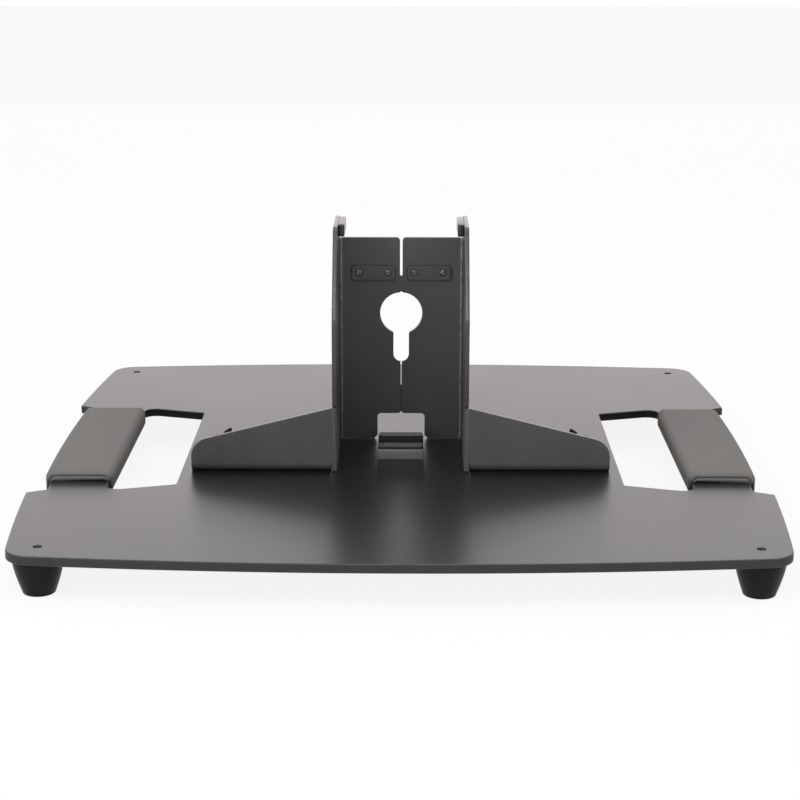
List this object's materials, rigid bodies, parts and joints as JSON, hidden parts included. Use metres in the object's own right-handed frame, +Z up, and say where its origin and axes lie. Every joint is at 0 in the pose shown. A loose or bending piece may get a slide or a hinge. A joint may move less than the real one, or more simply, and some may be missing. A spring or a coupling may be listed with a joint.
{
  "type": "light bar floor stand",
  "caption": "Low floor stand with a bulged square base plate, hand openings with rubber grips, rubber feet and an upright bent-sheet channel with a keyhole that holds a light bar.",
  "frame": {"origin": "on the floor under the middle of the base plate", "axes": "+X to the right seen from the front, +Y from the open front of the channel to its rear panel, +Z up"},
  "size_m": [0.494, 0.5, 0.192],
  "materials": {
    "plate_coat": "fine textured powder coat, satin at low angles",
    "bracket_coat": "fine textured powder coat",
    "rest_coat": "fine textured powder coat",
    "grip_rubber": "smooth satin moulded rubber",
    "foot_rubber": "matt moulded rubber",
    "pad_plastic": "matt moulded plastic",
    "black_steel": "black zinc plating"
  },
  "bodies": {
    "stand": {"base_plate": "plate_coat", "left_bracket": "bracket_coat", "right_bracket": "bracket_coat", "left_grip": "grip_rubber", "right_grip": "grip_rubber", "foot_front_left": "foot_rubber", "foot_front_right": "foot_rubber", "foot_rear_left": "foot_rubber", "foot_rear_right": "foot_rubber", "foot_washers": "black_steel", "foot_screws": "black_steel", "wing_bolt_washers": "black_steel", "left_panel_pad": "pad_plastic", "right_panel_pad": "pad_plastic", "panel_pad_screws": "black_steel", "left_top_pad": "pad_plastic", "right_top_pad": "pad_plastic", "bar_rest": "rest_coat", "front_rest_pad": "pad_plastic", "rear_rest_pad": "pad_plastic", "rest_pad_screws": "black_steel", "bar_rest_screws": "black_steel"},
    "wing_bolt_left_outer": {"wing_bolt_left_outer": "black_steel"},
    "wing_bolt_left_inner": {"wing_bolt_left_inner": "black_steel"},
    "wing_bolt_right_inner": {"wing_bolt_right_inner": "black_steel"},
    "wing_bolt_right_outer": {"wing_bolt_right_outer": "black_steel"}
  },
  "joints": [
    {"name": "wing_bolt_left_outer_turn", "type": "hinge", "parent": "stand", "child": "wing_bolt_left_outer", "pos_m": [-0.124, -0.04, 0.0334], "axis": [0, 0, 1], "continuous": true},
    {"name": "wing_bolt_left_inner_turn", "type": "hinge", "parent": "stand", "child": "wing_bolt_left_inner", "pos_m": [-0.072, -0.04, 0.0334], "axis": [0, 0, 1], "continuous": true},
    {"name": "wing_bolt_right_inner_turn", "type": "hinge", "parent": "stand", "child": "wing_bolt_right_inner", "pos_m": [0.072, -0.04, 0.0334], "axis": [0, 0, 1], "continuous": true},
    {"name": "wing_bolt_right_outer_turn", "type": "hinge", "parent": "stand", "child": "wing_bolt_right_outer", "pos_m": [0.124, -0.04, 0.0334], "axis": [0, 0, 1], "continuous": true}
  ]
}
